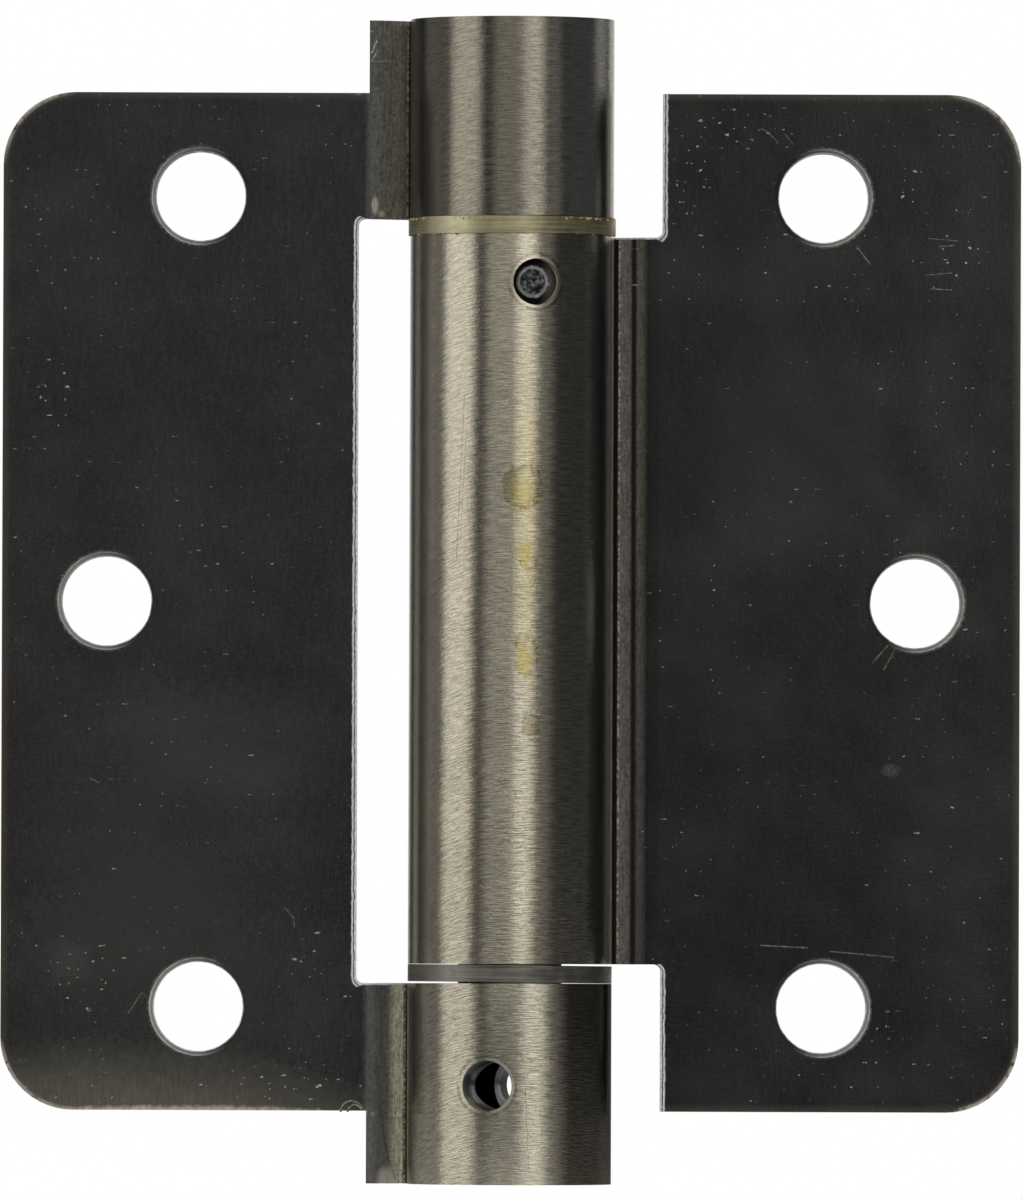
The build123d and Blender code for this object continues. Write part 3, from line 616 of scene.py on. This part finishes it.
# The right leaf: the same sheet, with one long knuckle between the other two. Drops of rust-preventing
# oil have dried to yellow stains down the front of its knuckle, and the anchor pin goes through it.
oil = "A3932F"
pin_turn = 13.8
pin_height = 27.7
finished("barrel_leaf", sheet_steel(
    "cold_rolled_steel_with_long_knuckle",
    flat_tones=("0C0C0C", "242423"), knuckle_tones=(("7F796B", "DCD3BB"), ("7A7467", "D6CDB6")),
    flank=(6.8, 8.6, "F2EEE4", "F2EEE4"), out_of_round=((-0.015, 0.0), (0.01, 0.0)),
    change_at=(-28, 28), stroke_fan=(0.03, 0.0), neck_reach=11.75,
    neck_tones=(((9.05, "121211"), (9.25, "1A1918"), (9.4, "7E7B70"), (10.35, "68655C"), (10.6, "1A1918"),
                 (10.85, "201F1E"), (11.1, "545149"), (11.8, "383735")),
                ((9.05, "121211"), (9.25, "1A1918"), (9.4, "827F74"), (10.35, "706D63"), (10.55, "1A1918"),
                 (10.8, "201F1E"), (11.0, "6A665C"), (11.8, "3E3C38"))),
    lip_at=9.42, notch=(13.15, 31.8, -1), cross_hole=(pin_turn, pin_height, 2.0),
    scratches_and_painted_shade=[((30.1, 31.2), (31.3, 29.6), 0.07, 0.3, bright_steel),
               ((21.7, 41.5), (22.4, 41.1), 0.06, 0.25, bright_steel),
               ((22.4, 41.1), (23.2, 40.2), 0.06, 0.2, bright_steel),
               ((23.8, 41.0), (24.5, 40.1), 0.06, 0.2, bright_steel),
               ((21.9, -29.9), (26.0, -30.1), 0.08, 0.3, bright_steel),
               ((28.0, -30.4), (33.5, -30.9), 0.08, 0.2, bright_steel),
               ((31.6, -5.2), (32.9, -3.7), 0.09, 0.4, "A8A070"),
               ((32.6, -5.8), (33.6, -3.9), 0.08, 0.35, "A8A070"),
               ((36.4, 31.9), (38.9, 31.7), 0.06, 0.18, bright_steel),
               ((37.3, 31.2), (38.6, 31.3), 0.06, 0.22, bright_steel),
               ((36.2, 28.7), (38.4, 28.9), 0.06, 0.2, bright_steel),
               ((36.6, 27.5), (38.4, 27.4), 0.06, 0.25, bright_steel),
               ((-4.1, 17.8), (-4.75, 3.6), 0.06, 0.6, "4A463E"),
               ((-3.9, 15.0), (-4.45, 5.0), 0.05, 0.5, "55514A")],
    stains_and_painted_light=[((1.3, 7.0), (1.7, 18.0), 0.9, False, 0.3, "A4954C"),
            ((0.95, 9.9), (1.9, 2.1), 0.9, True, 0.75, "5E4E1C"),
            ((0.0, 10.2), (0.75, 1.7), 1.0, False, 0.5, "7A672C"),
            ((1.1, 9.2), (1.6, 1.5), 1.2, False, 0.45, oil),
            ((1.2, 4.1), (0.75, 1.4), 1.8, False, 0.75, oil),
            ((1.5, 3.2), (0.9, 0.6), 1.6, True, 0.7, "5E4E1C"),
            ((1.3, -4.8), (1.15, 1.9), 1.3, True, 0.75, "6A5A20"),
            ((1.2, -5.2), (0.9, 1.5), 1.6, False, 0.6, oil),
            ((0.85, -3.8), (0.5, 0.5), 0.5, True, 0.8, "7A6420"),
            ((1.8, -10.8), (0.9, 1.1), 1.2, True, 0.5, "54461A"),
            ((1.8, -10.8), (0.9, 1.1), 1.2, False, 0.5, "7C6C30"),
            ((33.2, -14.6), (0.9, 0.7), 0.9, False, 0.4, "605F5C"),
            ((25, 14), (10, 12), 0.8, False, 0.1, "5A5854")],
    dusty=[((20, 41.5), (7.5, 2.4)), ((15.8, 36.8), (2.2, 6)), ((34.4, 36.4), (2.2, 3)),
           ((39.1, 29.9), (2.4, 2.8)), ((30, -37), (5, 2.5))]))


# The washer between the top and the centre knuckle: a ring stamped from 1.6 mm brass sheet, loose on
# the pivot. It has gone olive with handling, keeps fine lines from the strip mill, and sheds crumbs.
def washer_metal(name, dark, light, brightened, roughness, lit_at):
    """A stamped ring's finish. lit_at is where its rim is painted lighter, as painted light, in mm from the
    axis, x first.
    """
    material, tree = blank_material(name)
    place = add(tree, "VectorMath", [add(tree, "TexCoord", output="Object"), to_millimetres],
                operation="MULTIPLY")
    # Lines that run round the rim, 0.12 mm apart and some millimetres long.
    lines_at = add(tree, "VectorMath", [place, (0.15, 0.15, 8.0)], operation="MULTIPLY")
    lines = add(tree, "TexNoise", {"Vector": lines_at, "Scale": 1.0, "Detail": 3.0, "Roughness": 0.6})
    lines = add(tree, "MapRange", [lines, 0.3, 0.7])
    blotches = add(tree, "TexNoise", {"Vector": place, "Scale": 1.1, "Detail": 4.0})
    blotches = add(tree, "MapRange", [blotches, 0.35, 0.65])
    mixed = add(tree, "Mix", {0: 0.2, 2: lines, 3: blotches})
    tone = add(tree, "Mix", {0: mixed, 6: linear(dark), 7: linear(light)}, 2, data_type="RGBA")
    # Painted light: the rim is painted lighter near lit_at, fully within 1.5 mm, fading out by 4.5 mm.
    aside = add(tree, "VectorMath", [place, lit_at], "Value", operation="DISTANCE")
    rubbed_and_lit = add(tree, "MapRange", [aside, 4.5, 1.5, 0.0, 0.6])
    tone = add(tree, "Mix", {0: rubbed_and_lit, 6: tone, 7: linear(brightened)}, 2, data_type="RGBA")
    rough = add(tree, "MapRange", [blotches, 0.0, 1.0, roughness - 0.08, roughness + 0.1])
    relief = add(tree, "Mix", {0: 0.3, 2: lines, 3: blotches})
    bump = add(tree, "Bump", {"Strength": 0.6, "Distance": 0.01 * millimetre, "Height": relief})
    add(tree, "OutputMaterial", [add(tree, "BsdfPrincipled", {"Base Color": tone, "Metallic": 0.85,
                                                              "Roughness": rough, "Normal": bump})])
    return material


# Brass that has aged: olive brown in the lines, and yellow at the rim's front left, where painted light
# lies.
finished("top_washer", washer_metal("stamped_brass_gone_olive", "746C4E", "D0C69E", "E2DAB6", 0.4,
                                    (-6.0, -6.8, 32.7)))

# The crumbs are brass rubbed off the washer. Most cling to its rim just under the joint with the top
# knuckle, which has to turn clear of them, and the rest along the lower edge.
crumb_count = 70
top_share = 0.7
washer_low, washer_high = (Vector(corner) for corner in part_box("top_washer"))
washer_radius = (washer_high.x - washer_low.x) / 2
chance = Random(4)
crumb_mesh = bpy.data.meshes.new("brass_crumbs")
crumbs = bmesh.new()
for _ in range(crumb_count):
    size = chance.uniform(0.07, 0.15) * millimetre
    turn = radians(chance.choice((-1, 1)) * chance.uniform(13, 80))
    on_top = chance.random() < top_share
    if on_top:
        height = washer_high.z - 1.4 * size
    else:
        height = washer_low.z + chance.uniform(-0.06, 0.04) * millimetre
    away = washer_radius - size * chance.uniform(0.0, 0.4)
    spot = Vector((sin(turn) * away, -cos(turn) * away, height))
    squash = Matrix.Diagonal((chance.uniform(0.8, 1.8), 1.0, chance.uniform(0.5, 0.9), 1.0))
    twist = Matrix.Rotation(radians(chance.uniform(-40, 40)), 4, "Y")
    bmesh.ops.create_icosphere(crumbs, subdivisions=1, radius=size,
                               matrix=Matrix.Translation(spot) @ twist @ squash)
crumbs.to_mesh(crumb_mesh)
crumbs.free()
brass_crumbs = bpy.data.objects.new("brass_crumbs", crumb_mesh)
bpy.context.scene.collection.objects.link(brass_crumbs)
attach(brass_crumbs, "barrel_leaf")

# Fresh brass: clean yellow, with a dull and a bright side to each crumb.
fresh_brass, tree = blank_material("fresh_brass_filings")
place = add(tree, "TexCoord", output="Object")
# Facets 0.1 mm across.
facets = add(tree, "TexNoise", {"Vector": place, "Scale": 1 / (0.1 * millimetre), "Detail": 1.0})
facets = add(tree, "MapRange", [facets, 0.4, 0.6])
tone = add(tree, "Mix", {0: facets, 6: linear("8A7538"), 7: linear("E6D696")}, 2, data_type="RGBA")
rough = add(tree, "MapRange", [facets, 0.0, 1.0, 0.5, 0.3])
bump = add(tree, "Bump", {"Strength": 0.4, "Distance": 0.01 * millimetre, "Height": facets})
add(tree, "OutputMaterial", [add(tree, "BsdfPrincipled", {"Base Color": tone, "Metallic": 0.3,
                                                          "Roughness": rough, "Normal": bump})])
crumb_mesh.materials.append(fresh_brass)


# The washer over the bottom knuckle: a steel ring, stamped from strip and blackened, a little askew on the
# adjuster's stem. Its rim is dark, with painted light at its front left.
finished("bottom_washer", washer_metal("stamped_steel_blackened", "4C4943", "8C887E", "A39F95", 0.4,
                                       (-6.5, -6.0, -32.3)))


# The anchor pin: a length of drawn wire, cropped, and driven through the centre knuckle, the plug and the
# pivot. Cropping left a rough pitted end inside a smoother grey ring. Round that the end is painted dark on
# the left as painted shade, and lighter on the right as painted light.
pin_metal, tree = blank_material("cropped_wire_end")
place = add(tree, "VectorMath", [add(tree, "TexCoord", output="Object"), to_millimetres],
            operation="MULTIPLY")
pin_tangent = (cos(radians(pin_turn)), sin(radians(pin_turn)), 0)
# The pin's end sits a little to the left of its hole's middle.
end_shift = 0.18
aside = add(tree, "VectorMath", [place, pin_tangent], "Value", operation="DOT_PRODUCT")
aside = add(tree, "Math", [aside, end_shift], operation="ADD")
above = add(tree, "Math", [add(tree, "SeparateXYZ", [place], 2), pin_height], operation="SUBTRACT")
off_centre = add(tree, "CombineXYZ", [aside, above])
off_centre = add(tree, "VectorMath", [off_centre], "Value", operation="LENGTH")
# Pits 0.4 mm across.
pits = add(tree, "TexNoise", {"Vector": place, "Scale": 2.6, "Detail": 3.0, "Roughness": 0.55})
pits = add(tree, "MapRange", [pits, 0.42, 0.6])
pitted = add(tree, "Mix", {0: pits, 6: linear("131416"), 7: linear("7C7E80")}, 2, data_type="RGBA")
ring = add(tree, "Math", [off_centre, 1.25], operation="SUBTRACT")
ring = add(tree, "MapRange", [add(tree, "Math", [ring], operation="ABSOLUTE"), 0.18, 0.06, 0.0, 0.9])
tone = add(tree, "Mix", {0: ring, 6: pitted, 7: linear("A6A6A0")}, 2, data_type="RGBA")
# Painted shade and light round the pin's end: dark on the left, lighter on the right.
pin_rim = add(tree, "MapRange", [off_centre, 1.38, 1.5])
lit_wall = add(tree, "MapRange", [aside, 0.7, 1.7])
pin_rim_light_and_shade = add(tree, "Mix", {0: lit_wall, 6: linear("161614"), 7: linear("6A675E")}, 2, data_type="RGBA")
tone = add(tree, "Mix", {0: pin_rim, 6: tone, 7: pin_rim_light_and_shade}, 2, data_type="RGBA")
rough = add(tree, "MapRange", [pits, 0.0, 1.0, 0.6, 0.35])
bump = add(tree, "Bump", {"Strength": 1.0, "Distance": 0.08 * millimetre, "Height": pits})
add(tree, "OutputMaterial", [add(tree, "BsdfPrincipled", {"Base Color": tone, "Metallic": 0.6,
                                                          "Roughness": rough, "Normal": bump})])
finished("anchor_pin", pin_metal)


# The tension adjuster: a plug turned from free-cutting steel bar, with cross holes for the tension pin, a
# hexagon socket in its foot and a stem that carries the spring. It is painted near black, as the shade
# inside the knuckle that holds it.
def turned_steel(name, dark, light, roughness, feed, metallic=1.0):
    """A turned bar's finish: rings as far apart as the tool's feed, in mm, under blotches of oil."""
    material, tree = blank_material(name)
    place = add(tree, "VectorMath", [add(tree, "TexCoord", output="Object"), to_millimetres],
                operation="MULTIPLY")
    x, y, z = add(tree, "SeparateXYZ", [place]).node.outputs
    radius = add(tree, "VectorMath", [add(tree, "CombineXYZ", [x, y])], "Value", operation="LENGTH")
    rings_at = add(tree, "CombineXYZ", [radius, 0.0, z])
    rings = add(tree, "TexNoise", {"Vector": rings_at, "Scale": 1 / feed, "Detail": 2.0})
    rings = add(tree, "MapRange", [rings, 0.3, 0.7])
    blotches = add(tree, "TexNoise", {"Vector": place, "Scale": 0.6, "Detail": 4.0})
    blotches = add(tree, "MapRange", [blotches, 0.35, 0.65])
    mixed = add(tree, "Mix", {0: 0.5, 2: rings, 3: blotches})
    tone = add(tree, "Mix", {0: mixed, 6: linear(dark), 7: linear(light)}, 2, data_type="RGBA")
    rough = add(tree, "MapRange", [blotches, 0.0, 1.0, roughness - 0.08, roughness + 0.1])
    bump = add(tree, "Bump", {"Strength": 0.5, "Distance": 0.01 * millimetre, "Height": rings})
    add(tree, "OutputMaterial", [add(tree, "BsdfPrincipled", {"Base Color": tone, "Metallic": metallic,
                                                              "Roughness": rough, "Normal": bump})])
    return material


# Painted shade: the adjuster's near-black tones stand for the shade inside the knuckle.
finished("tension_adjuster", turned_steel("turned_steel_dark_as_shade", "1A1918", "3A3835", 0.35, 0.25))


# The retaining ring: an open ring of spring steel, phosphated black, snapped into the stem's groove.
# It gives a matt charcoal look with a faint sparkle of crystals.
finished("retaining_ring", turned_steel("phosphated_spring_steel", "242322", "454340", 0.5, 0.12))


# The top sleeve: a bearing turned from brass bar and pressed into the top knuckle, where the pivot
# turns. Only its end shows, yellow, with the facing tool's rings.
finished("top_sleeve", turned_steel("turned_brass_bearing", "7A6430", "BFA35C", 0.32, 0.2))


# The pivot pin: ground steel rod, smooth and silver grey, held by the anchor pin through its foot.
# Grinding leaves rings too fine to see one by one, drawn here 0.1 mm apart.
finished("pivot_pin", turned_steel("ground_steel_rod", "6A6864", "A8A59E", 0.25, 0.1))


# The anchor plug: turned steel, pressed into the top of the centre knuckle. Its slot takes the spring's
# upper tail.
finished("anchor_plug", turned_steel("turned_bright_steel", "5E5C58", "9C9992", 0.35, 0.25))


# The torsion spring: square wire, coiled cold and blued in the tempering oven. The blueing is a dark
# grey-brown skin with a soft shine along the wire.
finished("torsion_spring", turned_steel("oil_tempered_spring_wire", "2A2826", "55504A", 0.35, 0.5))


# The lower bush: a bearing pressed from sintered bronze, dull orange brown with open pores, in which the
# adjuster's stem turns.
finished("lower_bush", turned_steel("sintered_bronze", "7A5A34", "B58E58", 0.5, 0.15))
